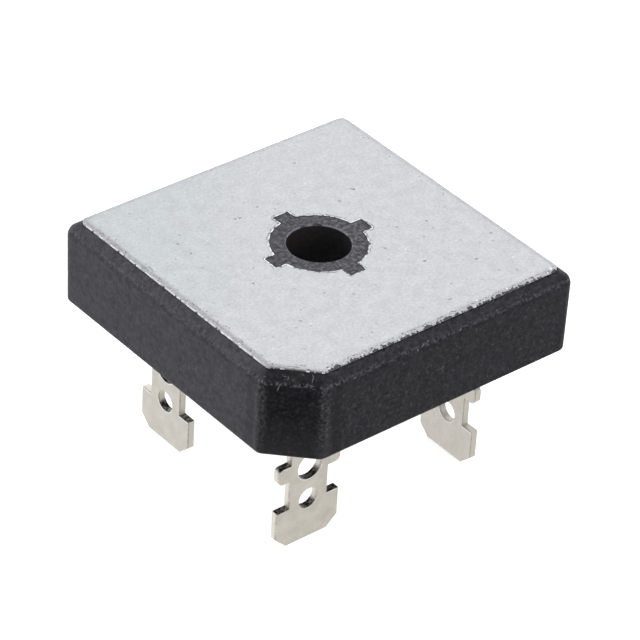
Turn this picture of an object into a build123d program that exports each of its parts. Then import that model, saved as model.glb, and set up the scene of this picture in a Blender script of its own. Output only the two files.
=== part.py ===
from build123d import *
import os

# Square moulded bridge rectifier, standing on its four flat leads with the heat-sink plate up.
# Origin on the screw hole's axis in the plate's outer face, +Z out of the plate.
# The cut corner and the positive lead are at -X -Y, the negative lead is at +X +Y.
# All lengths are in millimetres, angles in degrees.

# Heat-sink plate: its outline, and the rim that rolls down around its outer face
plate_half = 13.4
plate_cut = 3.0
plate_corner_radius = 0.7
plate_cut_radius = 0.3
plate_thickness = 1.2
plate_proud = 0.22
roll_width = 0.7
roll_drop = 0.1

# Moulded body
body_border = 0.88
body_height = 7.75
body_draft = 0.3
body_corner_radius = 0.8
bevel_drop = 0.72
shoulder_radius = 1.0
bottom_edge_radius = 0.35

# Screw hole, and the keyed collar around it that fills the plate's hole
screw_hole_radius = 2.6
hole_rim_chamfer = 0.1
collar_radius = 3.9
key_reach = 4.85
key_width = 1.45

# Leads: the sheet, and the blade's outline with heights above its tip
lead_thickness = 0.65
lead_width = 6.1
neck_width = 3.7
lead_below_body = 11.95
tip_cut_width = 1.0
tip_cut_height = 0.95
tab_height = 3.55
wing_bottom = 6.32
wing_height = 1.48
wing_corner_radius = 0.42
small_hole_radius = 0.93
small_hole_height = 3.88
large_hole_radius = 1.2
large_hole_height = 7.02

# Places of the leads: a blade's middle plane and its centre line, both from the hole's axis
side_lead_plane = 8.9
side_lead_centre = 7.1
positive_lead_plane = 9.0
positive_lead_centre = 7.65

# Hidden stack, from the plate down
wafer_thickness = 0.5
wafer_half = 11.6
solder_thickness = 0.1
die_thickness = 0.3
clip_thickness = 0.4

# Lead feet: each fills one quarter of the wafer around the collar
core_margin = 0.35
foot_gap = 1.2
foot_reach = 9.8
bend_radius = 0.4
relief_width = 0.2

# Dies and clips
die_size = 3.4
die_edge_margin = 0.15
die_gap_margin = 0.3
clip_width = 2.4
clip_foot_length = 1.8
clip_foot_inset = 0.4

# Levels that follow from the stack
plate_bottom = -plate_thickness
wafer_bottom = plate_bottom - wafer_thickness
foot_bottom = wafer_bottom - lead_thickness
die_top = foot_bottom - solder_thickness
die_bottom = die_top - die_thickness
clip_top = die_bottom - solder_thickness
body_bottom = -body_height
body_top = -plate_proud
lead_tip = body_bottom - lead_below_body

# Places that follow from the layout
core_radius = key_reach + core_margin
foot_start = foot_gap / 2
die_along = -(foot_start + die_gap_margin + die_size / 2)
die_across = side_lead_plane + lead_thickness / 2 - die_edge_margin - die_size / 2
clip_foot_start = foot_start + clip_foot_inset
clip_foot_end = clip_foot_start + clip_foot_length


# Outline that plate and body share: a square with its corner at -X -Y cut off
def cut_square(half, cut):
    with BuildSketch(mode=Mode.PRIVATE) as outline:
        with BuildLine():
            Polyline(
                (-half, cut - half),
                (cut - half, -half),
                (half, -half),
                (half, half),
                (-half, half),
                close=True,
            )
        make_face()
    return outline.sketch


# Outline of the collar: a circle with a key on each of its four sides
def keyed_circle(radius, reach, width):
    with BuildSketch(mode=Mode.PRIVATE) as outline:
        Circle(radius)
        Rectangle(2 * reach, width)
        Rectangle(width, 2 * reach)
    return outline.sketch


plate_outline = cut_square(plate_half, plate_cut)
collar_outline = keyed_circle(collar_radius, key_reach, key_width)

# Blank of the plate: a thick sheet whose upright corners are rounded, less at the cut corner
with BuildPart() as blank:
    with BuildSketch(Plane.XY.offset(plate_bottom)):
        add(plate_outline)
    extrude(amount=plate_thickness)
    corners = blank.edges().filter_by(Axis.Z).sort_by(Axis((0, 0, 0), (1, 1, 0)))
    fillet(corners[:2], radius=plate_cut_radius)
    fillet(corners[2:], radius=plate_corner_radius)

# Heat-sink plate: the blank with the rolled rim that punching leaves, and the keyed hole.
# The cutter's section is swept around the rim. Its arc leaves the face level and rolls down to the edge.
roll_radius = (roll_width**2 + roll_drop**2) / (2 * roll_drop)
cutter_reach = 2 * roll_drop
rim_plane = Plane(origin=(plate_half, 0, 0), x_dir=(1, 0, 0), z_dir=(0, 1, 0))
with BuildPart() as plate:
    add(blank.part)
    with BuildSketch(rim_plane):
        with BuildLine():
            roll = RadiusArc((-roll_width, 0), (0, roll_drop), -roll_radius)
            Polyline(
                roll @ 1,
                (cutter_reach, roll_drop),
                (cutter_reach, -cutter_reach),
                (-roll_width, -cutter_reach),
                roll @ 0,
            )
        make_face()
    sweep(path=plate_outline.face().outer_wire(), transition=Transition.RIGHT, mode=Mode.SUBTRACT)
    with BuildSketch(Plane.XY.offset(plate_bottom)):
        add(collar_outline)
    extrude(amount=plate_thickness, mode=Mode.SUBTRACT)
plate.part.label = "heat_sink_plate"

# Ceramic wafer that keeps the plate insulated from the live parts
with BuildPart() as wafer:
    with BuildSketch(Plane.XY.offset(wafer_bottom)):
        Rectangle(2 * wafer_half, 2 * wafer_half)
        Circle(core_radius, mode=Mode.SUBTRACT)
    extrude(amount=wafer_thickness)
wafer.part.label = "insulator_wafer"


# Blade of a lead, drawn upwards from its tip: tab, neck, wings, neck, and two holes
def blade_outline(neck_top):
    half = lead_width / 2
    neck = neck_width / 2
    wing_top = wing_bottom + wing_height
    with BuildSketch(mode=Mode.PRIVATE) as outline:
        with BuildLine():
            right_side = Polyline(
                (0, 0),
                (half - tip_cut_width, 0),
                (half, tip_cut_height),
                (half, tab_height),
                (neck, tab_height),
                (neck, wing_bottom),
                (half, wing_bottom),
                (half, wing_top),
                (neck, wing_top),
                (neck, neck_top),
                (0, neck_top),
            )
            mirror(right_side, about=Plane.YZ)
        make_face()
        wing_corners = outline.vertices().filter_by_position(Axis.Y, wing_bottom, wing_top)
        fillet(wing_corners.filter_by(lambda corner: abs(corner.X) > neck), radius=wing_corner_radius)
        with Locations((0, small_hole_height)):
            Circle(small_hole_radius, mode=Mode.SUBTRACT)
        with Locations((0, large_hole_height)):
            Circle(large_hole_radius, mode=Mode.SUBTRACT)
    return outline.sketch


# Lead as stamped and bent, in the +X +Y quarter: flat foot, bend, and blade standing in a YZ plane
def bent_lead(blade_plane, blade_centre):
    outer_face = blade_plane + lead_thickness / 2
    bend_outside = bend_radius + lead_thickness
    bend_start = outer_face - bend_outside
    bend_bottom = foot_bottom - bend_radius
    bend_plane = Plane(origin=(bend_start, blade_centre, bend_bottom), x_dir=(1, 0, 0), z_dir=(0, -1, 0))
    standing_plane = Plane(origin=(blade_plane, blade_centre, lead_tip), x_dir=(0, 1, 0), z_dir=(1, 0, 0))
    with BuildPart() as lead:
        with BuildSketch(Plane.XY.offset(foot_bottom)):
            with Locations((foot_start, foot_start)):
                Rectangle(outer_face - foot_start, foot_reach - foot_start, align=Align.MIN)
            Circle(core_radius, mode=Mode.SUBTRACT)
            with Locations((bend_start, blade_centre)):
                Rectangle(
                    bend_outside,
                    neck_width + 2 * relief_width,
                    align=(Align.MIN, Align.CENTER),
                    mode=Mode.SUBTRACT,
                )
        extrude(amount=lead_thickness)
        with BuildSketch(bend_plane):
            Circle(bend_outside)
            Circle(bend_radius, mode=Mode.SUBTRACT)
            Rectangle(bend_outside, bend_outside, align=Align.MIN, mode=Mode.INTERSECT)
        extrude(amount=neck_width / 2, both=True)
        with BuildSketch(standing_plane):
            add(blade_outline(bend_bottom - lead_tip))
        extrude(amount=lead_thickness / 2, both=True)
    return lead.part


# The four leads: three stand parallel, and the positive one is turned across its cut corner
negative_lead = bent_lead(side_lead_plane, side_lead_centre)
negative_lead.label = "negative_lead"
ac_lead_left = mirror(negative_lead, about=Plane.YZ)
ac_lead_left.label = "ac_lead_left"
ac_lead_right = mirror(negative_lead, about=Plane.XZ)
ac_lead_right.label = "ac_lead_right"
across_the_cut_corner = Plane(origin=(0, 0, 0), z_dir=(1, 1, 0))
positive_lead = mirror(bent_lead(positive_lead_plane, positive_lead_centre), about=across_the_cut_corner)
positive_lead.label = "positive_lead"
leads = [positive_lead, negative_lead, ac_lead_left, ac_lead_right]


# Square layer of the die's stack on one arm of the bridge, hanging from a level
def square_block(label, arm, size, top, thickness):
    with BuildPart() as block:
        with BuildSketch(arm.offset(top - thickness)):
            with Locations((die_along, 0)):
                Rectangle(size, size)
        extrude(amount=thickness)
    block.part.label = label
    return block.part


# Solder between a clip's foot and the next lead's foot
def foot_solder(label, arm):
    with BuildPart() as solder:
        with BuildSketch(arm.offset(die_top)):
            with Locations((clip_foot_start, 0)):
                Rectangle(clip_foot_length, clip_width, align=(Align.MIN, Align.CENTER))
        extrude(amount=solder_thickness)
    solder.part.label = label
    return solder.part


# Clip that carries the current from a die's anode over the gap and up to the next lead's foot
def jumper_clip(label, arm):
    start = die_along - clip_width / 2
    with BuildPart() as clip:
        with BuildSketch(Plane(origin=arm.origin, x_dir=arm.x_dir, z_dir=-arm.y_dir)):
            with BuildLine():
                Polyline(
                    (start, clip_top),
                    (-foot_start, clip_top),
                    (foot_start, die_top),
                    (clip_foot_end, die_top),
                    (clip_foot_end, die_top - clip_thickness),
                    (foot_start, die_top - clip_thickness),
                    (-foot_start, clip_top - clip_thickness),
                    (start, clip_top - clip_thickness),
                    close=True,
                )
            make_face()
        extrude(amount=clip_width / 2, both=True)
    clip.part.label = label
    return clip.part


# One arm of the bridge: die, its two solder layers, the clip, and the solder under the clip's foot
def bridge_arm(number, arm):
    return [
        square_block(f"die_solder_{number}", arm, die_size, foot_bottom, solder_thickness),
        square_block(f"diode_die_{number}", arm, die_size, die_top, die_thickness),
        square_block(f"cap_solder_{number}", arm, clip_width, die_bottom, solder_thickness),
        jumper_clip(f"jumper_clip_{number}", arm),
        foot_solder(f"clip_foot_solder_{number}", arm),
    ]


# The four arms cross the gaps between feet: positive to each AC lead, and each AC lead to negative
arm_planes = [
    Plane(origin=(-die_across, 0, 0), x_dir=(0, 1, 0), z_dir=(0, 0, 1)),
    Plane(origin=(0, -die_across, 0), x_dir=(1, 0, 0), z_dir=(0, 0, 1)),
    Plane(origin=(0, die_across, 0), x_dir=(1, 0, 0), z_dir=(0, 0, 1)),
    Plane(origin=(die_across, 0, 0), x_dir=(0, 1, 0), z_dir=(0, 0, 1)),
]
bridge_pieces = []
for index, arm_plane in enumerate(arm_planes):
    bridge_pieces += bridge_arm(index + 1, arm_plane)

# Moulded body: drafted block with a bevelled and rounded shoulder, cast around everything inside
with BuildPart() as body:
    with BuildSketch(Plane.XY.offset(body_top)):
        add(plate_outline)
        offset(amount=body_border, kind=Kind.INTERSECTION)
    extrude(amount=body_height - plate_proud, dir=(0, 0, -1), taper=body_draft)
    upper_face = body.faces().sort_by(Axis.Z)[-1]
    chamfer(upper_face.edges(), length=body_border, length2=bevel_drop, reference=upper_face)
    fillet(body.edges().group_by(Axis.Z)[-3], radius=shoulder_radius)
    upright_edges = body.edges().filter_by(Plane.XY, reverse=True)
    fillet(upright_edges, radius=body_corner_radius)
    fillet(body.faces().sort_by(Axis.Z)[0].edges(), radius=bottom_edge_radius)
    add(blank.part, mode=Mode.SUBTRACT)
    with BuildSketch(Plane.XY.offset(plate_bottom)):
        add(collar_outline)
    extrude(amount=plate_thickness)
    with BuildSketch(Plane.XY.offset(body_bottom)):
        Circle(screw_hole_radius)
    extrude(amount=body_height, mode=Mode.SUBTRACT)
    circles = body.edges().filter_by(GeomType.CIRCLE)
    hole_rims = circles.filter_by(lambda rim: rim.radius == screw_hole_radius)
    chamfer(hole_rims, length=hole_rim_chamfer)
    add([wafer.part] + leads + bridge_pieces, mode=Mode.SUBTRACT)
body.part.label = "moulded_body"

# One STEP file for each piece
os.makedirs("parts", exist_ok=True)
for piece in [body.part, plate.part, wafer.part] + leads + bridge_pieces:
    export_step(piece, f"parts/{piece.label}.step")
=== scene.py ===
import math
import random

import bpy
from mathutils import Matrix, Vector, noise
from mathutils.bvhtree import BVHTree


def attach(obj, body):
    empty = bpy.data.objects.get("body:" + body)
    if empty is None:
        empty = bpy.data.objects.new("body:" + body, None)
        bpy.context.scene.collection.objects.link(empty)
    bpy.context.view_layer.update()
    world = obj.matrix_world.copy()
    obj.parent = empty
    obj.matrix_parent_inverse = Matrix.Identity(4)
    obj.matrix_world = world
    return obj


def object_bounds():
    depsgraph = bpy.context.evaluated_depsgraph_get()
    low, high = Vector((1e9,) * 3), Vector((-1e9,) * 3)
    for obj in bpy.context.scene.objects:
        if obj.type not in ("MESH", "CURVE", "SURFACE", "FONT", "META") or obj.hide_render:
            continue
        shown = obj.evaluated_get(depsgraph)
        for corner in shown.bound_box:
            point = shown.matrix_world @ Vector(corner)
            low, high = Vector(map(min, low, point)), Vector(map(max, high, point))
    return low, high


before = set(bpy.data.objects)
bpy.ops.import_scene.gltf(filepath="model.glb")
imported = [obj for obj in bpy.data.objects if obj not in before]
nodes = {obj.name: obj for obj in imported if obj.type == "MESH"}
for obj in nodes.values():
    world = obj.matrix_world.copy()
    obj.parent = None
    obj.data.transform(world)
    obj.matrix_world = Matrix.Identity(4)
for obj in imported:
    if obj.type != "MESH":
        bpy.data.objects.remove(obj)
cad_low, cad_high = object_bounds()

# Square moulded bridge rectifier, standing on its four flat leads with the heat-sink plate up.
# Lengths are in metres. The origin is on the screw hole's axis, in the plate's outer face.
MM = 0.001
UP = Vector((0, 0, 1))
DOWN = Vector((0, 0, -1))

# Photograph: its side in pixels, and the camera that fits the straight edges of the part in it
PHOTO_SIZE = 640
CAMERA_AZIMUTH = math.radians(-41.0244)
CAMERA_ELEVATION = math.radians(35.4795)
CAMERA_ROLL = math.radians(3.4497)
CAMERA_DISTANCE = 273.5643 * MM
CAMERA_OFFSET_X = -0.0807 * MM
CAMERA_OFFSET_Y = 6.0119 * MM
FOCAL_PIXELS = 3499.7944
SENSOR_WIDTH_MM = 36.0
LEFT_IN_PLAN = Vector((-math.cos(CAMERA_AZIMUTH), -math.sin(CAMERA_AZIMUTH)))


# Camera

def level(vector):
    return Vector((vector.x, vector.y, 0)).normalized()


def camera_axes():
    cos_a, sin_a = math.cos(CAMERA_AZIMUTH), math.sin(CAMERA_AZIMUTH)
    cos_e, sin_e = math.cos(CAMERA_ELEVATION), math.sin(CAMERA_ELEVATION)
    back = Vector((sin_a * cos_e, -cos_a * cos_e, sin_e))
    level_right = Vector((cos_a, sin_a, 0))
    level_up = back.cross(level_right)
    right = math.cos(CAMERA_ROLL) * level_right + math.sin(CAMERA_ROLL) * level_up
    up = math.cos(CAMERA_ROLL) * level_up - math.sin(CAMERA_ROLL) * level_right
    return right, up, back


def camera_place():
    right, up, back = camera_axes()
    return back * CAMERA_DISTANCE - right * CAMERA_OFFSET_X - up * CAMERA_OFFSET_Y


def make_camera():
    data = bpy.data.cameras.new("photo_camera")
    data.sensor_width = SENSOR_WIDTH_MM
    data.lens = FOCAL_PIXELS / PHOTO_SIZE * SENSOR_WIDTH_MM
    data.clip_start = 10 * MM
    data.clip_end = 5000 * MM
    camera = bpy.data.objects.new("photo_camera", data)
    bpy.context.scene.collection.objects.link(camera)
    turn = Matrix(camera_axes()).transposed().to_4x4()
    camera.matrix_world = Matrix.Translation(camera_place()) @ turn
    bpy.context.scene.camera = camera


def pixel_ray(x, y):
    right, up, back = camera_axes()
    half = PHOTO_SIZE / 2
    direction = right * (x - half) / FOCAL_PIXELS - up * (y - half) / FOCAL_PIXELS - back
    return camera_place(), direction.normalized()


# Places on the part, read from the frame

ABOVE_PART = 5 * MM
WALL_TOPS_ABOVE = -0.5 * MM
RIM_WALL_RADII = (10 * MM, 20 * MM)
COLLAR_WALL_RADII = (2 * MM, 7 * MM)


def half_and_cut_sum(name):
    """Half side of a node, and the largest sum of -x and -y, which its cut corner has."""
    corners = [vertex.co for vertex in nodes[name].data.vertices]
    return max(corner.x for corner in corners), max(-corner.x - corner.y for corner in corners)


def blade_front(name):
    """A blade's crosswise axis, its front face's place on it, and its middle on the other axis."""
    blade = [p for p in nodes[name].data.polygons if p.center.z < 0.6 * cad_low.z]
    spread = [sum(p.area for p in blade if abs(p.normal[axis]) > 0.99) for axis in (0, 1)]
    axis = 0 if spread[0] > spread[1] else 1
    front = min(p.center[axis] for p in blade if abs(p.normal[axis]) > 0.99)
    sideways = [p.center[1 - axis] for p in blade]
    return axis, front, (min(sideways) + max(sideways)) / 2


def surface_of(name):
    mesh = nodes[name].data
    return BVHTree.FromPolygons([v.co for v in mesh.vertices], [p.vertices for p in mesh.polygons])


def drop_on(surface, x, y):
    """Point on the surface straight below x, y, and its normal."""
    place, normal, _, _ = surface.ray_cast(Vector((x, y, ABOVE_PART)), DOWN)
    return place, normal


def point_seen(surface, x, y):
    """Point on the surface that the photograph shows at a pixel, and its normal."""
    place, normal, _, _ = surface.ray_cast(*pixel_ray(x, y))
    return place, normal


def upper_wall_loop(name, nearest, farthest):
    """Top corners of a node's upright walls within a range of radii, in order around the axis."""
    mesh = nodes[name].data
    points = {}
    for polygon in mesh.polygons:
        centre_radius = math.hypot(polygon.center.x, polygon.center.y)
        if abs(polygon.normal.z) < 0.01 and nearest < centre_radius < farthest:
            for index in polygon.vertices:
                corner = mesh.vertices[index].co
                if corner.z > WALL_TOPS_ABOVE:
                    points[(round(corner.x, 6), round(corner.y, 6))] = corner.copy()
    return sorted(points.values(), key=lambda corner: math.atan2(corner.y, corner.x))


PLATE_HALF, PLATE_CUT_SUM = half_and_cut_sum("heat_sink_plate")
BODY_HALF, BODY_CUT_SUM = half_and_cut_sum("moulded_body")
body_surface = surface_of("moulded_body")
plate_surface = surface_of("heat_sink_plate")


# Node helpers

class Shader:
    """A material with its Principled shader, and short ways to add nodes to it."""

    def __init__(self, name):
        self.material = bpy.data.materials.new(name)
        self.material.use_nodes = True
        self.tree = self.material.node_tree
        self.surface = self.tree.nodes["Principled BSDF"]
        self.place = self.add("ShaderNodeTexCoord").outputs["Object"]

    def add(self, kind, **settings):
        node = self.tree.nodes.new(kind)
        for key, value in settings.items():
            setattr(node, key, value)
        return node

    def feed(self, socket, value):
        if isinstance(value, bpy.types.NodeSocket):
            self.tree.links.new(value, socket)
        else:
            socket.default_value = value

    def math(self, operation, a, b=0.0, c=0.0):
        node = self.add("ShaderNodeMath", operation=operation)
        for socket, value in zip(node.inputs, (a, b, c)):
            self.feed(socket, value)
        return node.outputs[0]

    def times(self, first, *factors):
        for factor in factors:
            first = self.math("MULTIPLY", first, factor)
        return first

    def times_plus(self, a, b, c):
        return self.math("MULTIPLY_ADD", a, b, c)

    def ramp(self, value, low, high, out_low=0.0, out_high=1.0):
        """Smooth step between two values, from one output to another."""
        node = self.add("ShaderNodeMapRange", interpolation_type="SMOOTHSTEP")
        for socket, number in zip(node.inputs, (value, low, high, out_low, out_high)):
            self.feed(socket, number)
        return node.outputs["Result"]

    def noise(self, size, detail=2.0, roughness=0.5, place=None):
        node = self.add("ShaderNodeTexNoise")
        self.feed(node.inputs["Vector"], place or self.place)
        node.inputs["Scale"].default_value = 1 / size
        node.inputs["Detail"].default_value = detail
        node.inputs["Roughness"].default_value = roughness
        return node.outputs["Fac"]

    def cells(self, size, place=None):
        """Distance from the middle of the nearest random cell, and that cell's random colour."""
        node = self.add("ShaderNodeTexVoronoi")
        self.feed(node.inputs["Vector"], place or self.place)
        node.inputs["Scale"].default_value = 1 / size
        return node.outputs["Distance"], node.outputs["Color"]

    def moved(self, offset):
        node = self.add("ShaderNodeMapping")
        self.feed(node.inputs["Vector"], self.place)
        node.inputs["Location"].default_value = offset
        return node.outputs["Vector"]

    def split(self, vector):
        node = self.add("ShaderNodeSeparateXYZ")
        self.feed(node.inputs[0], vector)
        return node.outputs

    def radius(self, x, y):
        """Distance from the screw hole's axis."""
        return self.math("SQRT", self.times_plus(x, x, self.times(y, y)))

    def leftness(self, x, y):
        """Distance from the axis towards the photograph's left."""
        return self.times_plus(x, LEFT_IN_PLAN.x, self.times(y, LEFT_IN_PLAN.y))

    def insets(self, x, y, half, cut_sum):
        """Distances inwards from the nearest of the four sides and from the cut corner."""
        from_sides = self.math(
            "MINIMUM",
            self.math("SUBTRACT", half, self.math("ABSOLUTE", x)),
            self.math("SUBTRACT", half, self.math("ABSOLUTE", y)),
        )
        from_cut = self.times(self.math("ADD", self.math("ADD", x, y), cut_sum), math.sqrt(0.5))
        return from_sides, from_cut

    def mix(self, factor, a, b):
        """Mix of two colours; 6, 7 and 2 are the mix node's colour sockets."""
        node = self.add("ShaderNodeMix", data_type="RGBA")
        self.feed(node.inputs["Factor"], factor)
        self.feed(node.inputs[6], a)
        self.feed(node.inputs[7], b)
        return node.outputs[2]

    def bump(self, height, distance, strength):
        node = self.add("ShaderNodeBump")
        node.inputs["Strength"].default_value = strength
        node.inputs["Distance"].default_value = distance
        self.feed(node.inputs["Height"], height)
        return node.outputs["Normal"]

    def finish(self, colour, roughness, normal=None, metallic=0.0, specular=0.5):
        self.feed(self.surface.inputs["Base Color"], colour)
        self.feed(self.surface.inputs["Roughness"], roughness)
        self.surface.inputs["Metallic"].default_value = metallic
        self.feed(self.surface.inputs["Specular IOR Level"], specular)
        if normal is not None:
            self.feed(self.surface.inputs["Normal"], normal)
        return self.material


def grey(value, tint=(1.0, 1.0, 1.0)):
    return (value * tint[0], value * tint[1], value * tint[2], 1.0)


# Materials

COOL = (1.0, 0.98, 1.06)
BLUISH = (0.9, 1.0, 1.2)
SHEEN_TINT = (1.0, 0.99, 1.09, 1.0)

# Heights and radii at which the looks of the epoxy and the plate change
SHOULDER_LINE = -0.95 * MM
BEVEL_HEIGHTS = (-1.5 * MM, -1.1 * MM)
FLANK_HEIGHTS = (-1.6 * MM, -1.3 * MM)
# Heights of the painted reflection of the table low on the cut corner
REFLECTION_HEIGHTS = (-3 * MM, -7.5 * MM)
TOP_HEIGHTS = (-0.16 * MM, -0.12 * MM)
WALL_HEIGHTS = (-0.17 * MM, -0.05 * MM)
BORDER_RADII = (11 * MM, 12 * MM)
COLLAR_RADII = (7 * MM, 8 * MM)
# Radii of the painted highlight on the hole's rim, and of the painted shade in the bore
RIM_HIGHLIGHT_RADII = (2.67 * MM, 2.72 * MM)
BORE_RADII = (2.63 * MM, 2.66 * MM)

# Leads: shades of the faces and of the narrow edges, set lead by lead as painted light and shade,
# shares of painted dark reflection on the left ear and on the rest, and the width of the dark seam
LEAD_LOOKS = {
    "positive_lead": (0.63, 0.74, 1.0, 1.0, 0.32 * MM),
    "negative_lead": (0.65, 0.65, 0.6, 0.6, 0.17 * MM),
    "ac_lead_left": (0.585, 0.82, 0.15, 1.0, 0.17 * MM),
    "ac_lead_right": (0.65, 0.6, 0.1, 0.1, 0.17 * MM),
}
EAR_START = (1.0 * MM, 1.4 * MM)

# Other materials: two shades, the size of their clouds, roughness, metallic and specular level
PLAIN_LOOKS = {
    "ceramic": (grey(0.72), grey(0.8, (1, 1, 0.97)), 0.4 * MM, 0.6, 0.0, 0.5),
    "silicon": (grey(0.09, BLUISH), grey(0.13, BLUISH), 0.5 * MM, 0.3, 0.6, 0.5),
    "solder": (grey(0.42), grey(0.52), 0.3 * MM, 0.35, 1.0, 0.5),
    "copper": ((0.72, 0.33, 0.2, 1), (0.8, 0.42, 0.27, 1), 0.4 * MM, 0.32, 1.0, 0.5),
    # Bare metal of burrs, nodules and lips, paler than the plate as painted glints
    "bare_metal_glint": (grey(0.75, (1.0, 0.99, 0.97)), grey(0.9), 0.2 * MM, 0.35, 0.6, 0.5),
    "burr_metal": (grey(0.5), grey(0.78), 0.15 * MM, 0.55, 0.4, 0.5),
    "dent_grey": (grey(0.2), grey(0.36), 0.1 * MM, 0.6, 0.3, 0.5),
    "flash_skin": (grey(0.014, COOL), grey(0.1, COOL), 0.12 * MM, 0.5, 0.0, 0.5),
    # Painted shade in the gaps at the plate's rim and around the collar
    "gap_shade": (grey(0.008, COOL), grey(0.03, COOL), 0.2 * MM, 0.7, 0.0, 0.12),
    "scratch_pale": (grey(0.06, COOL), grey(0.15, COOL), 0.15 * MM, 0.5, 0.0, 0.5),
}
SOLDER_KINDS = ("die_solder", "cap_solder", "clip_foot_solder")


def epoxy_material():
    """Black filled epoxy: grain, scuffs, worn bevel and corners, mottled collar, painted highlight
    on the hole's rim, painted shade in the bore, painted table reflection low on the cut corner.
    """
    s = Shader("epoxy")
    x, y, z = s.split(s.place)
    radius = s.radius(x, y)
    from_sides, from_cut = s.insets(x, y, BODY_HALF, BODY_CUT_SUM)
    near_cut = s.ramp(from_cut, 0.8 * MM, 1.4 * MM, 1.0, 0.0)
    calm = s.ramp(near_cut, 0.0, 1.0, 1.0, 0.5)
    clouds = s.noise(1.6 * MM, detail=4, roughness=0.6)
    grain = s.noise(0.28 * MM, detail=3, roughness=0.7)
    sheen = s.noise(0.6 * MM, detail=5, roughness=0.74)
    colour = s.mix(s.ramp(clouds, 0.3, 0.7), grey(0.004, COOL), grey(0.0075, COOL))
    colour = s.mix(s.times(s.ramp(grain, 0.46, 0.72), calm), colour, grey(0.022, COOL))

    # Faint scuffs on the flanks
    elsewhere = s.moved((7.3 * MM, 2.9 * MM, 5.1 * MM))
    marks = s.noise(0.5 * MM, detail=6, roughness=0.75, place=elsewhere)
    scuff = s.times(s.ramp(marks, 0.58, 0.7), s.ramp(z, *FLANK_HEIGHTS, 0.9, 0.0))
    colour = s.mix(s.times(scuff, calm), colour, grey(0.05, COOL))

    # Patches of paler, rougher skin on the bevel
    patches = s.noise(0.55 * MM, detail=4, roughness=0.7)
    on_bevel = s.times(s.ramp(z, *BEVEL_HEIGHTS), s.ramp(radius, *BORDER_RADII))
    worn_skin = s.times(s.ramp(patches, 0.48, 0.68), on_bevel)
    colour = s.mix(s.times(worn_skin, 0.5), colour, grey(0.026, COOL))

    # Dotted line where the shoulder meets the flanks, paler at the cut corner
    offset = s.math("SUBTRACT", s.times_plus(patches, 0.4 * MM, z), SHOULDER_LINE + 0.2 * MM)
    near_line = s.ramp(s.math("ABSOLUTE", offset), 0.05 * MM, 0.22 * MM, 1.0, 0.0)
    dotted = s.times(near_line, s.ramp(s.noise(0.24 * MM, detail=3), 0.44, 0.62))
    paler = s.mix(near_cut, grey(0.055, COOL), grey(0.085, COOL))
    colour = s.mix(s.times(dotted, 0.7), colour, paler)

    # Worn upright corners beside the cut corner
    near_corner = s.ramp(s.math("MAXIMUM", from_sides, from_cut), 0.15 * MM, 0.55 * MM, 1.0, 0.0)
    worn_corner = s.times(near_corner, s.ramp(s.noise(0.2 * MM, detail=3), 0.42, 0.66, 0.1, 1.0))
    colour = s.mix(s.times(worn_corner, 0.8), colour, grey(0.05))

    # Painted reflection of the pale table on the lower half of the cut corner
    painted_table_reflection = s.times(s.ramp(z, *REFLECTION_HEIGHTS), s.ramp(from_cut, 0.4 * MM, 0.8 * MM, 1.0, 0.0))
    colour = s.mix(s.times(painted_table_reflection, 0.5), colour, grey(0.022, (1.1, 1.0, 1.0)))

    # Pale filler grains
    distance, random_colour = s.cells(0.34 * MM)
    pick = s.split(random_colour)[0]
    chosen = s.math("GREATER_THAN", pick, 0.84)
    dot = s.times(s.ramp(distance, 0.05, s.ramp(pick, 0.84, 1.0, 0.16, 0.42), 1.0, 0.0), chosen)
    colour = s.mix(s.times(dot, 0.5, calm), colour, grey(0.075))

    # Mottled collar
    at_top = s.ramp(z, *TOP_HEIGHTS)
    on_collar = s.times(s.ramp(radius, *COLLAR_RADII, 1.0, 0.0), at_top)
    mottle = s.noise(0.32 * MM, detail=4, roughness=0.75)
    mottled = s.times(on_collar, s.ramp(s.leftness(x, y), 0.5 * MM, 4 * MM, 1.0, 0.4))
    colour = s.mix(s.times(s.ramp(mottle, 0.48, 0.64), mottled), colour, grey(0.075, COOL))

    # Painted highlight on the hole's rounded rim, and painted shade in the bore below it
    painted_rim_highlight = s.times(s.ramp(radius, *RIM_HIGHLIGHT_RADII, 1.0, 0.0), at_top)
    painted_rim_highlight = s.times(painted_rim_highlight, s.ramp(s.noise(0.7 * MM, detail=4), 0.38, 0.6, 0.15, 1.0))
    colour = s.mix(painted_rim_highlight, colour, grey(0.18, COOL))
    painted_bore_shade = s.times(s.ramp(radius, *BORE_RADII, 1.0, 0.0), s.math("SUBTRACT", 1.0, at_top))
    colour = s.mix(painted_bore_shade, colour, grey(0.015, (1.12, 1.0, 1.0)))

    height = s.times_plus(clouds, 0.6, s.times_plus(worn_skin, 0.8, grain))
    normal = s.bump(height, 0.02 * MM, 0.5)
    roughness = s.math("ADD", s.ramp(grain, 0.3, 0.7, 0.42, 0.54), s.times(worn_skin, 0.06))
    s.surface.inputs["Specular Tint"].default_value = SHEEN_TINT
    specular = s.times_plus(s.ramp(grain, 0.35, 0.65), 0.16, s.ramp(sheen, 0.3, 0.7, 0.25, 0.59))
    specular = s.times_plus(s.ramp(mottle, 0.35, 0.65, -0.22, 0.22), on_collar, specular)
    specular = s.times(specular, s.ramp(near_cut, 0.0, 1.0, 1.0, 0.72))
    return s.finish(colour, roughness, normal, specular=specular)


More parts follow.
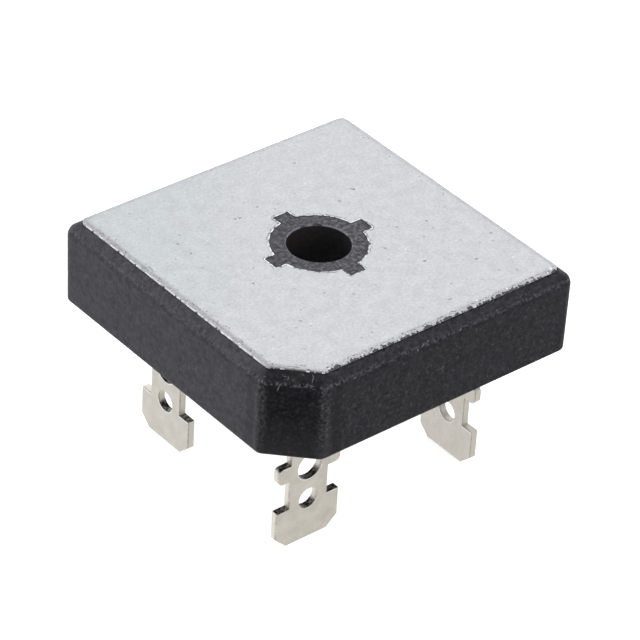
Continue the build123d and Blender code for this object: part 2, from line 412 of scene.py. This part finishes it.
def aluminium_material():
    """Pale matte plate: faint clouds, grain, small pits and a stained rim; painted glints; painted
    shade towards the left, along the far rims and on the cut corner's wall.
    """
    s = Shader("aluminium")
    x, y, z = s.split(s.place)
    # Painted shade: a cooler, slightly darker tone towards the left side of the plate
    painted_left_cast = s.times_plus(s.noise(4 * MM, detail=2), 14 * MM, s.leftness(x, y))
    clouds = s.noise(1.1 * MM, detail=4, roughness=0.6)
    grain = s.noise(0.24 * MM, detail=3, roughness=0.75)
    base, shaded_left_base = grey(0.598, (0.98, 1.0, 1.0)), grey(0.58, (0.932, 1.0, 0.99))
    colour = s.mix(s.ramp(painted_left_cast, 10 * MM, 19 * MM), base, shaded_left_base)
    colour = s.mix(s.ramp(clouds, 0.25, 0.75, 0.0, 0.2), colour, grey(0.47))
    colour = s.mix(s.ramp(grain, 0.34, 0.66, 0.0, 0.5), colour, grey(0.4))

    # Small dark pits, and smaller painted glints
    distance, random_colour = s.cells(1.05 * MM)
    pick = s.split(random_colour)[0]
    size = s.ramp(pick, 0.4, 1.0, 0.05, 0.17)
    pit = s.times(s.ramp(distance, 0.02, size, 1.0, 0.0), s.math("GREATER_THAN", pick, 0.4))
    colour = s.mix(s.times(pit, 0.45), colour, grey(0.17))
    distance, random_colour = s.cells(0.9 * MM, s.moved((3.1 * MM, 1.7 * MM, 0)))
    pick = s.split(random_colour)[1]
    painted_glint = s.times(s.ramp(distance, 0.02, 0.09, 1.0, 0.0), s.math("GREATER_THAN", pick, 0.76))
    colour = s.mix(s.times(painted_glint, 0.5), colour, grey(0.95))

    # Stained and dented band along the rolled rim, strongest on the left side
    from_sides, from_cut = s.insets(x, y, PLATE_HALF, PLATE_CUT_SUM)
    depth = s.math("MINIMUM", from_sides, from_cut)
    strength = s.ramp(s.math("ADD", x, PLATE_HALF), 0.7 * MM, 1.4 * MM, 1.0, 0.4)
    stain = s.noise(0.22 * MM, detail=3, roughness=0.7)
    ragged_depth = s.times_plus(s.math("SUBTRACT", stain, 0.5), 0.7 * MM, depth)
    band = s.ramp(ragged_depth, 0.28 * MM, 0.6 * MM, 1.0, 0.0)
    band = s.times(band, s.ramp(depth, 0.0, 0.16 * MM, 0.25, 1.0))
    stained = s.times(band, strength, s.ramp(stain, 0.38, 0.6, 0.35, 1.0))
    colour = s.mix(stained, colour, grey(0.3, (1.04, 1.0, 1.02)))

    # Painted shade of the gap beyond the two far rims, as a broken dark line along them
    painted_far_rim_shade = s.ramp(s.math("MAXIMUM", x, y), PLATE_HALF - 0.14 * MM, PLATE_HALF - 0.05 * MM)
    broken = s.ramp(s.noise(1.4 * MM, detail=4, roughness=0.6), 0.42, 0.6, 0.1, 0.7)
    colour = s.mix(s.times(painted_far_rim_shade, broken), colour, grey(0.22))

    # Painted shade on the wall at the cut corner, darkest at its foot
    painted_wall_shade = s.ramp(from_cut, 0.04 * MM, 0.22 * MM, 0.9, 0.0)
    colour = s.mix(painted_wall_shade, colour, grey(0.17, (1.0, 1.0, 0.97)))
    wall_foot_shade = s.ramp(from_cut, 0.02 * MM, 0.08 * MM, 1.0, 0.0)
    colour = s.mix(s.times(wall_foot_shade, s.ramp(z, *WALL_HEIGHTS, 0.85, 0.0)), colour, grey(0.03))

    height = s.times_plus(pit, -1.2, s.times_plus(grain, 0.5, clouds))
    height = s.times_plus(s.times(band, stain), 1.5, height)
    normal = s.bump(height, 0.02 * MM, 0.45)
    roughness = s.ramp(clouds, 0.3, 0.7, 0.5, 0.6)
    return s.finish(colour, roughness, normal, metallic=0.55)


def plating_material(name, painted_face_shade, painted_edge_shade, dark_reflection_left, dark_reflection_right, seam_width):
    """Warm matte plating, shaded lead by lead as painted light and shade; painted dark reflection
    in patches on what faces up; dark seam on narrow edges.
    """
    s = Shader("plating_" + name)
    axis, front, middle = blade_front(name)
    place = s.split(s.place)
    normals = s.split(s.add("ShaderNodeNewGeometry").outputs["Normal"])
    clouds = s.noise(1.3 * MM, detail=4, roughness=0.6)
    grain = s.noise(0.12 * MM, detail=2)
    # Faces in clouds around the lead's painted light and shade
    duller = grey(0.92 * painted_face_shade, (1.0, 0.947, 0.81))
    colour = s.mix(s.ramp(clouds, 0.3, 0.7), duller, grey(1.08 * painted_face_shade, (1.0, 0.95, 0.83)))
    colour = s.mix(s.ramp(grain, 0.5, 0.75, 0.0, 0.3), colour, grey(0.42, (1.0, 0.94, 0.8)))

    # Narrow edges, lighter or darker lead by lead as painted light and shade, and the dark seam on
    # them beside the front face
    patches = s.noise(0.3 * MM, detail=3, roughness=0.7)
    from_front = s.math("ABSOLUTE", s.math("SUBTRACT", place[axis], front))
    beside = s.ramp(from_front, 0.4 * seam_width, seam_width, 1.0, 0.0)
    narrow = s.ramp(s.math("ABSOLUTE", normals[axis]), 0.3, 0.6, 1.0, 0.0)
    colour = s.mix(s.times(narrow, 0.9), colour, grey(painted_edge_shade, (1.0, 0.95, 0.82)))
    seam = s.times(beside, narrow, s.ramp(patches, 0.35, 0.6, 0.2, 0.62))
    colour = s.mix(seam, colour, grey(0.16, (1.2, 1.0, 0.85)))

    # Painted dark reflection of the body's underside, in patches, on what faces up
    leftness = s.times(s.math("SUBTRACT", place[1 - axis], middle), LEFT_IN_PLAN[1 - axis])
    share = s.ramp(leftness, *EAR_START, dark_reflection_right, dark_reflection_left)
    painted_dark_reflection = s.times(s.ramp(normals[2], 0.3, 0.75), s.ramp(patches, 0.38, 0.56, 0.62, 1.0))
    colour = s.mix(s.times(painted_dark_reflection, share), colour, grey(0.02, (1.3, 1.0, 0.8)))
    normal = s.bump(s.times_plus(grain, 0.5, clouds), 0.012 * MM, 0.5)
    roughness = s.ramp(clouds, 0.3, 0.7, 0.28, 0.4)
    return s.finish(colour, roughness, normal, metallic=0.5)


def plain_material(name, low, high, size, roughness, metallic, specular):
    """Two shades in clouds of one size, with a roughness that follows them."""
    s = Shader(name)
    clouds = s.noise(size, detail=4, roughness=0.6)
    colour = s.mix(s.ramp(clouds, 0.3, 0.7), low, high)
    varied = s.ramp(clouds, 0.3, 0.7, roughness, roughness + 0.1)
    return s.finish(colour, varied, s.bump(clouds, 0.01 * MM, 0.4), metallic, specular)


def dress(names, material):
    for name in names:
        slots = nodes[name].material_slots
        for slot in slots:
            slot.material = material
        if not slots:
            nodes[name].data.materials.append(material)


numbers = range(1, 5)
plain = {name: plain_material(name, *looks) for name, looks in PLAIN_LOOKS.items()}
dress(["moulded_body"], epoxy_material())
dress(["heat_sink_plate"], aluminium_material())
for lead, looks in LEAD_LOOKS.items():
    dress([lead], plating_material(lead, *looks))
dress(["insulator_wafer"], plain["ceramic"])
dress([f"diode_die_{n}" for n in numbers], plain["silicon"])
dress([f"{kind}_{n}" for n in numbers for kind in SOLDER_KINDS], plain["solder"])
dress([f"jumper_clip_{n}" for n in numbers], plain["copper"])


# Detail pieces: burr, painted gap shade, epoxy flash, specks, scores, painted glints on lips and
# nodules, dents and scratches

RIM_STEP = 0.055 * MM
COLLAR_STEP = 0.06 * MM
SPECK_STEP = 0.16 * MM
RIBBON_STEP = 0.08 * MM
FLASH_LEAST = 0.015 * MM
RIM_FLASH_MOST = 0.22 * MM
COLLAR_FLASH_MOST = 0.13 * MM
MOUND_SIDES = 8
MOUNDS_ABOVE = -2 * MM
SPECK_SEED, DENT_SEED, SCRATCH_SEED = 11, 8, 5

# How ragged the plate's edge is on each side, and how much of it the burr covers, from -0.6 for
# none to 0.6 for all
RAGGEDNESS = {"right": 1.0, "cut": 0.12, "left": 0.0, "back": -0.3}
BURR_SHARES = {"right": 0.12, "cut": -0.22, "left": 0.2, "back": 0.2}
LEFT_SIDES = ("left", "cut")

# Painted glints on the leads: their width, the height below which they lie, and how much of the
# edges they cover, from -0.5 for none to 0.5 for all
GLINT_WIDTH = 0.11 * MM
GLINT_TOP = -8.2 * MM
GLINT_SHARES = {
    "positive_lead": 0.05,
    "negative_lead": 0.0,
    "ac_lead_left": 0.3,
    "ac_lead_right": 0.3,
}

# Scratches on the body, each through a point of the photograph, with its length in mm and its
# turn from upright in degrees
PLACED_SCRATCHES = [
    ((278.5, 388), 0.65, -20),
    ((313, 379.5), 0.6, -8),
    ((262, 381), 0.25, 10),
    ((423, 345), 0.4, -50),
    ((428, 341), 0.25, -55),
    ((418, 350), 0.25, -30),
    ((460, 330), 0.25, -40),
    ((497, 310), 0.2, -50),
    ((196, 369), 0.3, 60),
    ((355, 378), 0.3, -75),
]
SCRATCH_WIDTH = 0.1 * MM

# Random scratches: tries on the border between two heights, and the count on an area of the
# photograph at the cut corner, with lengths and widths in mm, and the most that they turn from
# upright in radians
BORDER_TRIES = 150
BORDER_HEIGHTS = (-1.4 * MM, -0.3 * MM)
BORDER_OVERHANG = 0.9 * MM
BORDER_LENGTHS, BORDER_WIDTHS = (0.15, 0.45), (0.03, 0.06)
CORNER_SCRATCHES = 13
CORNER_AREA_X = (256, 330)
CORNER_AREA_Y = (374, 388)
CORNER_LENGTHS, CORNER_WIDTHS = (0.12, 0.3), (0.04, 0.07)
MOST_TURN = 1.6

# Dents in the plate, each at a point of the photograph, with its half width in mm
PLACED_DENTS = [
    ((353.5, 189), 0.13),
    ((340, 201), 0.1),
    ((240, 218), 0.1),
    ((257.5, 207), 0.1),
    ((244, 203), 0.07),
    ((235.5, 219), 0.1),
    ((275, 209), 0.07),
    ((191, 253.5), 0.1),
    ((178, 244), 0.1),
    ((179.5, 235), 0.08),
    ((450, 299), 0.08),
    ((476.5, 259), 0.1),
    ((491, 233), 0.09),
    ((253.5, 283.5), 0.1),
    ((425, 261), 0.1),
    ((385, 248), 0.08),
    ((300.5, 321), 0.08),
    ((301, 310), 0.07),
    ((397, 227), 0.08),
    ((426.5, 221), 0.08),
    ((433, 228), 0.07),
    ((294.5, 163), 0.08),
    ((324, 293), 0.07),
    ((499, 270), 0.08),
    ((517, 269.5), 0.08),
    ((451.5, 283.5), 0.06),
]
DENT_SCALE = 1.15
# Least half width in mm of a dent with a painted glint on a lip beside it
LEAST_DENT_WITH_GLINT = 0.1

# Nodules on the plate with painted glints, each at a point of the photograph, with its half width
# in mm
PLACED_NODULES = [
    ((476.5, 300.5), 0.11),
    ((507, 288.5), 0.09),
    ((551, 268.5), 0.13),
    ((454.5, 255), 0.07),
    ((513, 257), 0.07),
]


class Builder:
    """Collects vertices and faces, and turns them into a piece that rides with the part."""

    def __init__(self, name, material, slot):
        self.name, self.material, self.slot = name, material, slot
        self.vertices, self.faces = [], []

    def strip(self, rows, closed=False):
        """Joins rows of points, each as long as the next, into a strip."""
        start, width = len(self.vertices), len(rows[0])
        for row in rows:
            self.vertices += [tuple(point) for point in row]
        for i in range(len(rows) if closed else len(rows) - 1):
            a = start + i * width
            b = start + (i + 1) % len(rows) * width
            self.faces += [(a + j, b + j, b + j + 1, a + j + 1) for j in range(width - 1)]

    def broken_strip(self, rows):
        """Joins rows into strips that stop wherever a row is None."""
        run = []
        for row in rows + [None]:
            if row is not None:
                run.append(row)
                continue
            if len(run) > 1:
                self.strip(run)
            run = []

    def fan(self, centre, ring):
        """Low mound: a ring of points joined to its centre."""
        start = len(self.vertices)
        self.vertices += [tuple(centre)] + [tuple(point) for point in ring]
        count = len(ring)
        self.faces += [(start, start + 1 + j, start + 1 + (j + 1) % count) for j in range(count)]

    def finish(self):
        mesh = bpy.data.meshes.new(self.name)
        mesh.from_pydata(self.vertices, [], self.faces)
        mesh.materials.append(self.material)
        mesh.shade_smooth()
        piece = bpy.data.objects.new(self.name, mesh)
        bpy.context.scene.collection.objects.link(piece)
        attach(piece, "root")


def walk(loop, step):
    """Even steps along a closed loop: places, outward directions in plan, and distances so far."""
    distance, spare = 0.0, 0.0
    for i, start in enumerate(loop):
        end = loop[(i + 1) % len(loop)]
        run = (end - start).length
        if run < 1e-7:
            continue
        along = (end - start) / run
        outward = Vector((along.y, -along.x, 0)).normalized()
        at = spare
        while at < run:
            yield start + along * at, outward, distance + at
            at += step
        spare = at - run
        distance += run


def wave(distance, size, seed):
    """Smooth noise from -1 to 1 along a path."""
    return noise.noise(Vector((distance / size, seed * 7.31, seed * 3.17)))


def side_of(outward):
    """Side of the plate as the photograph shows it, from the outward direction of its edge."""
    if outward.y < -0.95:
        return "right"
    if outward.y < -0.5:
        return "cut"
    return "back" if max(outward.x, outward.y) > 0.5 else "left"


def rim_reach(distance, outward):
    """How far epoxy crept over the plate's border; below zero where it did not."""
    rough = RAGGEDNESS[side_of(outward)]
    fine = 0.12 + 0.28 * max(rough, 0)
    swing = 0.45 * wave(distance, 0.42 * MM, seed=5) + fine * wave(distance, 0.17 * MM, seed=6)
    return min((0.09 * rough - 0.04 + (0.3 + 0.2 * rough) * swing) * MM, RIM_FLASH_MOST)


def collar_reach(distance, _):
    """How far epoxy crept outwards from the collar over the plate; the same for every direction."""
    swing = 0.5 * wave(distance, 0.5 * MM, seed=41) + 0.35 * wave(distance, 0.16 * MM, seed=42)
    return min(0.5 * swing * MM, COLLAR_FLASH_MOST)


def laid_on(surface, point, lift):
    """The place straight below a point on a surface, lifted a little."""
    return drop_on(surface, point.x, point.y)[0] + UP * lift


def make_rim_burr(loop):
    """Thin broken ridge that punching raised along the plate's edge, highest on the right side."""
    burr = Builder("plate_rim_burr", plain["burr_metal"], "plate")
    rows = []
    for place, outward, distance in walk(loop, RIM_STEP):
        side = side_of(outward)
        rough = RAGGEDNESS[side]
        presence = BURR_SHARES[side] + wave(distance, 0.8 * MM, seed=1)
        presence += 0.6 * wave(distance, 0.22 * MM, seed=2)
        if presence < 0 or rim_reach(distance, outward) > FLASH_LEAST:
            rows.append(None)
            continue
        height = (0.012 + (0.03 + 0.05 * rough) * presence) * MM
        width = (0.05 + 0.05 * presence) * MM
        swing = wave(distance, (0.4 - 0.2 * rough) * MM, seed=4)
        lean = (0.01 + (0.06 + 0.13 * rough) * swing) * MM
        inner = place - outward * width + UP * (0.012 * MM)
        crest = place + outward * (lean - 0.25 * width) + UP * height
        outer = place + outward * (0.032 * MM + max(lean, 0)) - UP * (0.04 * MM)
        rows.append((inner, crest, outer))
    burr.broken_strip(rows)
    burr.finish()


def make_rim_gap_shade(loop):
    """Narrow dark strip of painted shade in the joint between the plate's edge and the epoxy,
    widest on the right side.
    """
    shade_strip = Builder("rim_gap_shade", plain["gap_shade"], "epoxy")
    rows = []
    for place, outward, distance in walk(loop, RIM_STEP):
        rough = RAGGEDNESS[side_of(outward)]
        swing = wave(distance, 0.35 * MM, seed=14)
        width = (0.04 + 0.06 * rough + (0.05 + 0.09 * rough) * swing) * MM
        foot = place + outward * 0.006 * MM
        edge = place + outward * max(width, 0.015 * MM)
        points = (foot, (foot + edge) / 2, edge)
        rows.append([laid_on(body_surface, point, 0.004 * MM) for point in points])
    shade_strip.strip(rows, closed=True)
    shade_strip.finish()


def make_flash(name, loop, onto, reach_at):
    """Ragged skin of epoxy over the plate in short patches, inwards (onto -1) or outwards (1)."""
    flash = Builder(name, plain["flash_skin"], "epoxy")
    rows = []
    for place, outward, distance in walk(loop, RIM_STEP):
        reach = reach_at(distance, outward)
        inner = place + onto * outward * reach
        edge = place - onto * outward * 0.015 * MM + UP * (0.018 * MM)
        middle = (edge + inner) / 2
        found = [drop_on(plate_surface, point.x, point.y)[0] for point in (inner, middle)]
        if reach < FLASH_LEAST or None in found:
            rows.append(None)
            continue
        inner.z = found[0].z + 0.004 * MM
        middle.z = found[1].z + 0.03 * MM
        outer = place - onto * outward * 0.05 * MM - UP * (0.06 * MM)
        rows.append((inner, middle, edge, outer))
    flash.broken_strip(rows)
    flash.finish()


def mound(builder, spot, size, height, rng, stretch=1.0, turn=0.0):
    """Small irregular flat mound on the plate."""
    ring = []
    cos_t, sin_t = math.cos(turn), math.sin(turn)
    for j in range(MOUND_SIDES):
        angle = 2 * math.pi * j / MOUND_SIDES
        reach = size * rng.uniform(0.6, 1.1)
        u, v = reach * stretch * math.cos(angle), reach * math.sin(angle)
        x, y = spot.x + u * cos_t - v * sin_t, spot.y + u * sin_t + v * cos_t
        place, _ = drop_on(plate_surface, x, y)
        if place is None or place.z < MOUNDS_ABOVE:
            return
        ring.append(place + UP * (0.001 * MM))
    centre, normal = drop_on(plate_surface, spot.x, spot.y)
    builder.fan(centre + normal * height, ring)


def make_rim_specks(loop):
    """Epoxy specks, and bright nodules with painted glints, scattered over the rolled rim."""
    rng = random.Random(SPECK_SEED)
    dark = Builder("rim_specks", plain["flash_skin"], "epoxy")
    bright = Builder("rim_nodule_glints", plain["bare_metal_glint"], "plate")
    for place, outward, _ in walk(loop, SPECK_STEP):
        rough = RAGGEDNESS[side_of(outward)]
        if rng.random() < 0.28 + min(0.37 * rough, 0.5 * rough):
            spot = place - outward * rng.uniform(0.08, 0.75 - 0.35 * rough) * MM
            size = rng.uniform(0.025, 0.06) * MM
            turn = math.atan2(outward.y, outward.x) + math.pi / 2
            mound(dark, spot, size, 0.01 * MM, rng, rng.uniform(1.0, 2.4), turn)
        if rng.random() < 0.04 + 0.14 * rough:
            spot = place - outward * rng.uniform(0.05, 0.2) * MM
            mound(bright, spot, rng.uniform(0.04, 0.09) * MM, 0.04 * MM, rng)
    dark.finish()
    bright.finish()


def make_collar_burr_glint(loop):
    """Broken bright lip of the plate around the keyed collar: a raised burr with a painted glint.
    """
    glint_lip = Builder("collar_burr_glint", plain["bare_metal_glint"], "plate")
    rows = []
    for place, outward, distance in walk(loop, COLLAR_STEP):
        strength = wave(distance, 1.3 * MM, seed=8) + 0.5 * wave(distance, 0.35 * MM, seed=9)
        if strength < -0.12 or collar_reach(distance, outward) > FLASH_LEAST:
            rows.append(None)
            continue
        width = (0.07 + 0.06 * strength + 0.04 * wave(distance, 0.15 * MM, seed=10)) * MM
        height = (0.014 + 0.02 * strength) * MM
        rows.append((
            place + outward * 0.006 * MM + UP * (0.002 * MM),
            place + outward * 0.45 * width + UP * height,
            place + outward * width + UP * (0.001 * MM),
        ))
    glint_lip.broken_strip(rows)
    glint_lip.finish()


def make_scores(name, loop, offset, sway, seed, threshold, sides=()):
    """Thin broken dark line in the plate beside a loop, on the named sides or on all of them.

    The line's mean offset outwards from the loop, and its sway about that, are in mm.
    """
    scores = Builder(name, plain["dent_grey"], "plate")
    rows = []
    for place, outward, distance in walk(loop, COLLAR_STEP):
        strength = 0.6 * wave(distance, 0.9 * MM, seed) + 0.7 * wave(distance, 0.22 * MM, seed + 1)
        if strength < threshold or (sides and side_of(outward) not in sides):
            rows.append(None)
            continue
        middle = (offset + sway * wave(distance, 0.4 * MM, seed + 2)) * MM
        half_width = (0.024 + 0.07 * (strength - threshold)) * MM
        row = []
        for across, lift in ((-1, 0.001), (0, 0.006), (1, 0.001)):
            point = place + outward * (middle + across * half_width)
            row.append(laid_on(plate_surface, point, lift * MM))
        rows.append(row)
    scores.broken_strip(rows)
    scores.finish()


def make_collar_gap_shade(loop):
    """Narrow dark line of painted shade in the gap between the epoxy and the plate, widest on the
    far side.
    """
    shade_strip = Builder("collar_gap_shade", plain["gap_shade"], "epoxy")
    far = -level(camera_axes()[2])
    rows = []
    for place, outward, distance in walk(loop, COLLAR_STEP):
        facing = outward.dot(far)
        width = (0.045 + 0.05 * max(facing, 0) + 0.025 * wave(distance, 0.6 * MM, seed=12)) * MM
        inside = place - outward * width
        rows.append((inside + UP * (0.003 * MM), place + UP * (0.003 * MM)))
    shade_strip.strip(rows, closed=True)
    shade_strip.finish()


def make_lead_glints():
    """Painted glints: bright narrow strips where the front faces of the leads meet edges that face
    up.
    """
    glint_lips = Builder("lead_glints", plain["bare_metal_glint"], "plating")
    for name, share in GLINT_SHARES.items():
        axis, _, _ = blade_front(name)
        mesh = nodes[name].data
        faces_of = {}
        for polygon in mesh.polygons:
            for edge in polygon.edge_keys:
                corners = [mesh.vertices[index].co for index in edge]
                ends = sorted(tuple(round(value, 7) for value in corner) for corner in corners)
                faces_of.setdefault(tuple(ends), []).append(polygon)
        for ends, pair in faces_of.items():
            if len(pair) != 2 or pair[0].center.z > GLINT_TOP:
                continue
            flat, other = sorted(pair, key=lambda polygon: polygon.normal[axis])
            a, b = Vector(ends[0]), Vector(ends[1])
            if flat.normal[axis] > -0.99 or other.normal.z < 0.3 or (b - a).length < 0.02 * MM:
                continue
            middle = (a + b) / 2
            if 0.5 * wave(middle.z + middle.x - middle.y, 0.6 * MM, seed=31) + share < 0:
                continue
            lift = flat.normal * 0.008 * MM
            drop = -other.normal * GLINT_WIDTH
            glint_lips.strip([(a + lift, a + lift + drop), (b + lift, b + lift + drop)])
    glint_lips.finish()


def make_dents():
    """Small dents in the plate, the larger ones with a painted glint on a lip beside them, and
    bright nodules with painted glints.
    """
    rng = random.Random(DENT_SEED)
    dents = Builder("plate_dents", plain["dent_grey"], "plate")
    glint_lips = Builder("plate_dent_glints", plain["bare_metal_glint"], "plate")
    for (x, y), size in PLACED_DENTS:
        place, _ = point_seen(plate_surface, x, y)
        turn = CAMERA_AZIMUTH + rng.uniform(-0.4, 0.4)
        reach = DENT_SCALE * size * MM
        mound(dents, place, reach, 0.004 * MM, rng, rng.uniform(1.2, 2.2), turn)
        if size >= LEAST_DENT_WITH_GLINT:
            # Painted glint on a lip on the side of the dent away from the left
            glint_lip = place + LEFT_IN_PLAN.to_3d() * -1.5 * size * MM
            mound(glint_lips, glint_lip, 0.5 * size * MM, 0.01 * MM, rng)
    for (x, y), size in PLACED_NODULES:
        place, _ = point_seen(plate_surface, x, y)
        mound(glint_lips, place, size * MM, 0.025 * MM, rng)
    dents.finish()
    glint_lips.finish()


def scratch(builder, centre, normal, turn, length, width, rng):
    """Thin raised mark that follows the body, tapered to its ends, at a turn from upright."""
    upright = (UP - normal * normal.z).normalized()
    direction = upright * math.cos(turn) + normal.cross(upright) * math.sin(turn)
    across = normal.cross(direction).normalized()
    rows = []
    count = max(4, int(length / RIBBON_STEP))
    for i in range(count + 1):
        t = i / count
        middle = centre + direction * (t - 0.5) * length + across * rng.uniform(-0.1, 0.1) * width
        half = 0.5 * width * math.sin(math.pi * (0.08 + 0.84 * t)) * rng.uniform(0.6, 1.1)
        row = []
        for side, lift in ((-1, 0.001 * MM), (0, 0.012 * MM), (1, 0.001 * MM)):
            place, found_normal, _, _ = body_surface.find_nearest(middle + across * side * half)
            row.append(place + found_normal * lift)
        rows.append(row)
    builder.strip(rows)


def make_scratches():
    """Pale scratches: placed after the photograph, and random on the border and the cut corner."""
    rng = random.Random(SCRATCH_SEED)
    scratches = Builder("body_scratches", plain["scratch_pale"], "epoxy")
    for (x, y), length, turn in PLACED_SCRATCHES:
        place, normal = point_seen(body_surface, x, y)
        scratch(scratches, place, normal, math.radians(turn), length * MM, SCRATCH_WIDTH, rng)
    half = PLATE_HALF + BORDER_OVERHANG
    lowest, highest = BORDER_HEIGHTS
    for _ in range(BORDER_TRIES):
        x, y = rng.uniform(-half, half), rng.uniform(-half, half)
        place, normal = drop_on(body_surface, x, y)
        if place is None or not (lowest < place.z < highest) or math.hypot(x, y) < BORDER_RADII[0]:
            continue
        scratch(scratches, place, normal, rng.uniform(-MOST_TURN, MOST_TURN),
                rng.uniform(*BORDER_LENGTHS) * MM, rng.uniform(*BORDER_WIDTHS) * MM, rng)
    for _ in range(CORNER_SCRATCHES):
        x, y = rng.uniform(*CORNER_AREA_X), rng.uniform(*CORNER_AREA_Y)
        place, normal = point_seen(body_surface, x, y)
        scratch(scratches, place, normal, rng.uniform(-MOST_TURN, MOST_TURN),
                rng.uniform(*CORNER_LENGTHS) * MM, rng.uniform(*CORNER_WIDTHS) * MM, rng)
    scratches.finish()


# Stage: pale light table, soft boxes, and a plain surround that is darker on the camera's side

FLOOR_HALF = 1500 * MM
FLOOR_GLOW = 0.66
LOW_LEFT, LOW_RIGHT, LOW_FRONT = 1.07, 0.58, 0.0
HIGH_LEFT, HIGH_RIGHT, HIGH_FRONT, HIGH_BACK = 1.33, 0.66, 0.16, 1.47
OVERHEAD = 0.2
SURROUND_TINT = (0.98, 0.978, 1.035)
LIGHT_DISTANCE = 700 * MM


def make_floor():
    signs = ((-1, -1), (1, -1), (1, 1), (-1, 1))
    corners = [(x * FLOOR_HALF, y * FLOOR_HALF, cad_low.z) for x, y in signs]
    mesh = bpy.data.meshes.new("floor")
    mesh.from_pydata(corners, [], [(0, 1, 2, 3)])
    floor = bpy.data.objects.new("floor", mesh)
    bpy.context.scene.collection.objects.link(floor)
    floor.visible_glossy = False
    s = Shader("floor")
    s.surface.inputs["Emission Color"].default_value = grey(1.0)
    s.surface.inputs["Emission Strength"].default_value = FLOOR_GLOW
    colour = s.mix(s.noise(120 * MM), grey(0.84), grey(0.86))
    mesh.materials.append(s.finish(colour, 0.7, specular=0.0))


def soft_box(name, direction, size, strength, mirrored=True):
    data = bpy.data.lights.new(name, "AREA")
    data.shape = "RECTANGLE"
    data.size, data.size_y = size
    data.energy = strength * size[0] * size[1] * math.pi
    light = bpy.data.objects.new(name, data)
    bpy.context.scene.collection.objects.link(light)
    light.visible_glossy = mirrored
    light.location = direction.normalized() * LIGHT_DISTANCE
    light.rotation_mode = "QUATERNION"
    light.rotation_quaternion = direction.to_track_quat("Z", "Y")


def make_surround(left, front):
    world = bpy.data.worlds.new("studio")
    world.use_nodes = True
    tree = world.node_tree
    place = tree.nodes.new("ShaderNodeTexCoord").outputs["Generated"]

    def along(direction, low, high):
        """Rises from 0 to 1 as the view turns towards a direction."""
        dot = tree.nodes.new("ShaderNodeVectorMath")
        dot.operation = "DOT_PRODUCT"
        tree.links.new(place, dot.inputs[0])
        dot.inputs[1].default_value = direction
        spread = tree.nodes.new("ShaderNodeMapRange")
        spread.interpolation_type = "SMOOTHSTEP"
        spread.inputs["From Min"].default_value = low
        spread.inputs["From Max"].default_value = high
        tree.links.new(dot.outputs["Value"], spread.inputs["Value"])
        return spread.outputs["Result"]

    def between(factor, a, b):
        mix = tree.nodes.new("ShaderNodeMix")
        tree.links.new(factor, mix.inputs["Factor"])
        for socket, value in ((mix.inputs["A"], a), (mix.inputs["B"], b)):
            if isinstance(value, bpy.types.NodeSocket):
                tree.links.new(value, socket)
            else:
                socket.default_value = value
        return mix.outputs["Result"]

    towards_left = along(left, -0.6, 0.6)
    low_sides = between(towards_left, LOW_RIGHT, LOW_LEFT)
    low_ring = between(along(front, -0.2, 0.55), low_sides, LOW_FRONT)
    high_sides = between(towards_left, HIGH_RIGHT, HIGH_LEFT)
    high_front = between(along(front, 0.2, 0.8), high_sides, HIGH_FRONT)
    high_ring = between(along(-front, 0.2, 0.9), high_front, HIGH_BACK)
    ring = between(along(UP, -0.45, 0.4), low_ring, high_ring)
    whole = between(along(UP, 0.75, 0.95), ring, OVERHEAD)
    tree.links.new(whole, tree.nodes["Background"].inputs["Strength"])
    tree.nodes["Background"].inputs["Color"].default_value = grey(1.0, SURROUND_TINT)
    bpy.context.scene.world = world
    bpy.context.scene.view_settings.view_transform = "Standard"


def make_lights():
    right, _, back = camera_axes()
    left, front = -level(right), level(back)
    soft_box("top_box", UP - 0.4 * front, size=(0.9, 0.8), strength=0.72)
    soft_box("left_box", left - 0.35 * front + 0.45 * UP, size=(0.5, 0.6), strength=0.68)
    soft_box("low_box", left + 0.6 * front + 0.1 * UP, size=(0.6, 0.4), strength=1.15,
             mirrored=False)
    soft_box("fill_box", front - 0.9 * left + 0.3 * UP, size=(0.6, 0.5), strength=4.6,
             mirrored=False)
    make_surround(left, front)


rim_loop = upper_wall_loop("heat_sink_plate", *RIM_WALL_RADII)
collar_loop = upper_wall_loop("heat_sink_plate", *COLLAR_WALL_RADII)
make_rim_burr(rim_loop)
make_rim_gap_shade(rim_loop)
make_flash("rim_flash", rim_loop, -1, rim_reach)
make_flash("collar_flash", collar_loop, 1, collar_reach)
make_rim_specks(rim_loop)
make_collar_burr_glint(collar_loop)
make_collar_gap_shade(collar_loop)
make_scores("collar_scores", collar_loop, offset=0.18, sway=0.12, seed=21, threshold=-0.04)
make_scores("rim_scores", rim_loop, offset=-0.33, sway=0.12, seed=25, threshold=0.2,
            sides=("right",))
make_scores("left_scores_1", rim_loop, offset=-0.3, sway=0.12, seed=51, threshold=0.1,
            sides=LEFT_SIDES)
make_scores("left_scores_2", rim_loop, offset=-0.52, sway=0.2, seed=55, threshold=0.16,
            sides=LEFT_SIDES)
make_lead_glints()
make_dents()
make_scratches()
make_floor()
make_lights()
make_camera()
